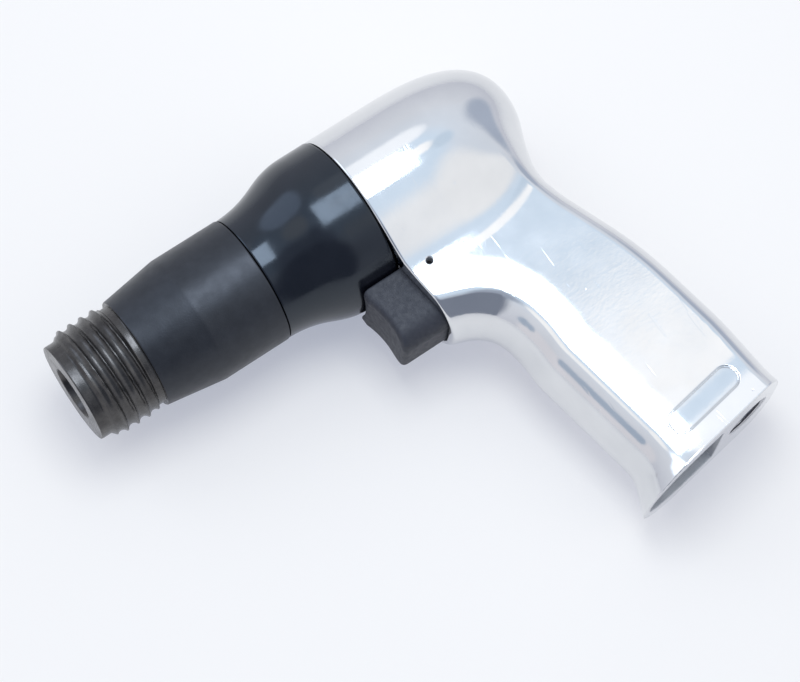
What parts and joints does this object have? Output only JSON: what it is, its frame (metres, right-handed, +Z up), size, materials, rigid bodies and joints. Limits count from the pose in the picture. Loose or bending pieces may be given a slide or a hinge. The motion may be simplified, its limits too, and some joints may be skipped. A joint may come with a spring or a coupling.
{
  "type": "pneumatic rivet hammer",
  "caption": "Short pistol grip air hammer for rivets: threaded nose, steel barrel, black exhaust hood, alloy handle, sliding trigger, air inlet and exhaust slot in the butt.",
  "frame": {"origin": "middle of the bounding box, on the floor the tool lies on", "axes": "+X forward along the barrel and out of the nose, +Y from the barrel towards the grip, +Z up; the tool lies on its right side, rolled about the barrel until head and butt touch the floor"},
  "size_m": [0.1594, 0.1398, 0.0486],
  "materials": {
    "polished_alloy": "polished casting with a few satin and as-cast areas",
    "hood_black": "gloss black",
    "blued_steel": "black oxide, worn to gunmetal at the nose",
    "trigger_grey": "fine grained matt grey",
    "steel": "ground",
    "brass": "turned",
    "seal_rubber": "matt"
  },
  "bodies": {
    "housing": {"handle": "polished_alloy", "exhaust_hood": "hood_black", "barrel": "blued_steel", "trigger_pin": "steel", "hood_front_oring": "seal_rubber", "hood_rear_oring": "seal_rubber", "valve_case": "steel", "valve_cap": "steel", "valve_dowels": "steel", "head_gasket": "seal_rubber", "throttle_bushing": "brass", "throttle_bushing_orings": "seal_rubber", "throttle_stem_oring": "seal_rubber", "throttle_spring": "steel", "spring_cup": "steel", "inlet_screen": "steel", "screen_ring": "steel"},
    "trigger": {"trigger": "trigger_grey"},
    "throttle": {"throttle_valve": "steel", "throttle_seal": "seal_rubber"},
    "piston": {"piston": "steel"},
    "cycle_valve": {"cycle_valve": "steel"}
  },
  "joints": [
    {"name": "trigger_slide", "type": "slide", "parent": "housing", "child": "trigger", "axis": [-1, 0, 0], "range_m": [0, 0.004], "stiffness_N_per_m": 1500, "springref_m": -0.004},
    {"name": "throttle_slide", "type": "slide", "parent": "housing", "child": "throttle", "axis": [-1, 0, 0], "range_m": [0, 0.004], "deforming": ["throttle_spring"]},
    {"name": "piston_slide", "type": "slide", "parent": "housing", "child": "piston", "axis": [1, 0, 0], "range_m": [0, 0.043]},
    {"name": "cycle_valve_slide", "type": "slide", "parent": "housing", "child": "cycle_valve", "axis": [-1, 0, 0], "range_m": [0, 0.0038]}
  ],
  "couplings": [
    {"joint": "throttle_slide", "follows": "trigger_slide", "ratio": 1}
  ]
}
